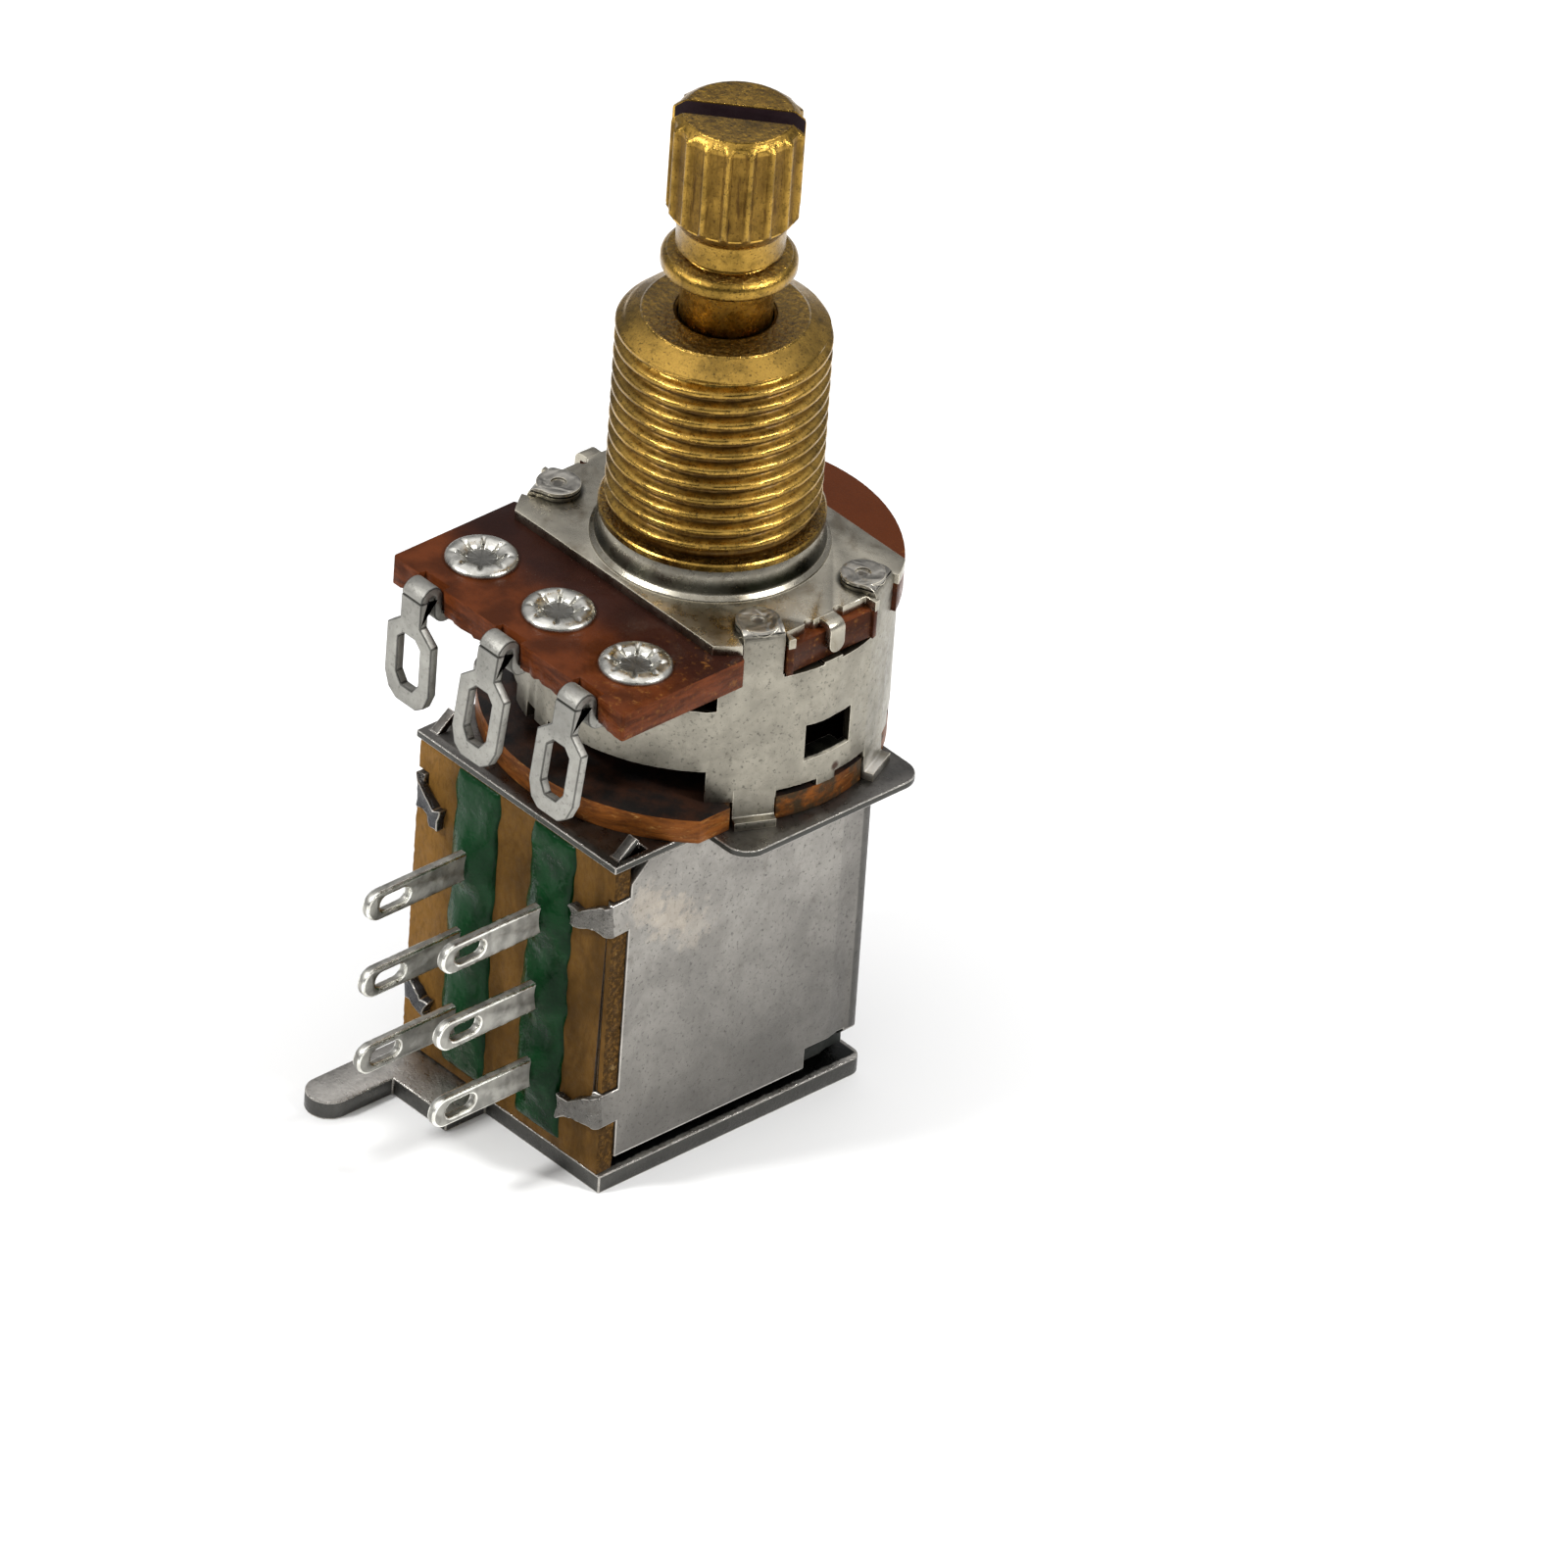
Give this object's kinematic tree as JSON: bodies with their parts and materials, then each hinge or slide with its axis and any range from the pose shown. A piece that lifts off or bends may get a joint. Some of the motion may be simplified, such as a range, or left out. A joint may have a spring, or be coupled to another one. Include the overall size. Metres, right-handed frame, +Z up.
{
  "type": "push-pull rotary potentiometer",
  "caption": "Upright rotary potentiometer with a splined shaft and threaded bushing over a slide switch that works when the shaft is pulled.",
  "frame": {"origin": "on the shaft axis, in the face of the bushing's shoulder that the panel rests on", "axes": "+Z up the shaft, -Y towards the solder lugs, +X to the right seen from the lug side"},
  "size_m": [0.0186, 0.0254, 0.0492],
  "materials": {
    "brass": "aged, unplated",
    "nickel_plate": "satin nickel plate",
    "tinned": "tinned",
    "phenolic": "red-brown laminate",
    "board": "tan laminate",
    "lacquer": "glossy green lacquer",
    "carbon": "printed carbon film",
    "black_moulding": "moulded",
    "white_moulding": "moulded"
  },
  "bodies": {
    "housing": {"bushing": "brass", "face_plate": "nickel_plate", "resistor_wafer": "phenolic", "carbon_track": "carbon", "collector_ring": "tinned", "pot_terminal_left": "nickel_plate", "pot_terminal_middle": "nickel_plate", "pot_terminal_right": "nickel_plate", "eyelet_left": "tinned", "eyelet_middle": "tinned", "eyelet_right": "tinned", "pot_can": "nickel_plate", "rear_disc": "phenolic", "switch_top_plate": "nickel_plate", "switch_housing": "nickel_plate", "switch_bottom_plate": "nickel_plate", "terminal_board": "board", "lacquer_left": "lacquer", "lacquer_right": "lacquer", "switch_terminal_left_1": "tinned", "switch_terminal_left_2": "tinned", "switch_terminal_left_3": "tinned", "switch_terminal_right_1": "tinned", "switch_terminal_right_2": "tinned", "switch_terminal_right_3": "tinned"},
    "rotor": {"rotor": "black_moulding", "wiper": "brass"},
    "shaft": {"shaft": "brass"},
    "slider": {"switch_slider": "white_moulding", "bridge_contact_left": "tinned", "bridge_contact_right": "tinned"}
  },
  "joints": [
    {"name": "shaft_turn", "type": "hinge", "parent": "housing", "child": "rotor", "pos_m": [0, 0, 0], "axis": [0, 0, 1], "range_deg": [-150, 150]},
    {"name": "shaft_pull", "type": "slide", "parent": "rotor", "child": "shaft", "axis": [0, 0, 1], "range_m": [0, 0.004]},
    {"name": "slider_lift", "type": "slide", "parent": "housing", "child": "slider", "axis": [0, 0, 1], "range_m": [0, 0.004]}
  ],
  "couplings": [
    {"joint": "slider_lift", "follows": "shaft_pull", "ratio": 1}
  ]
}
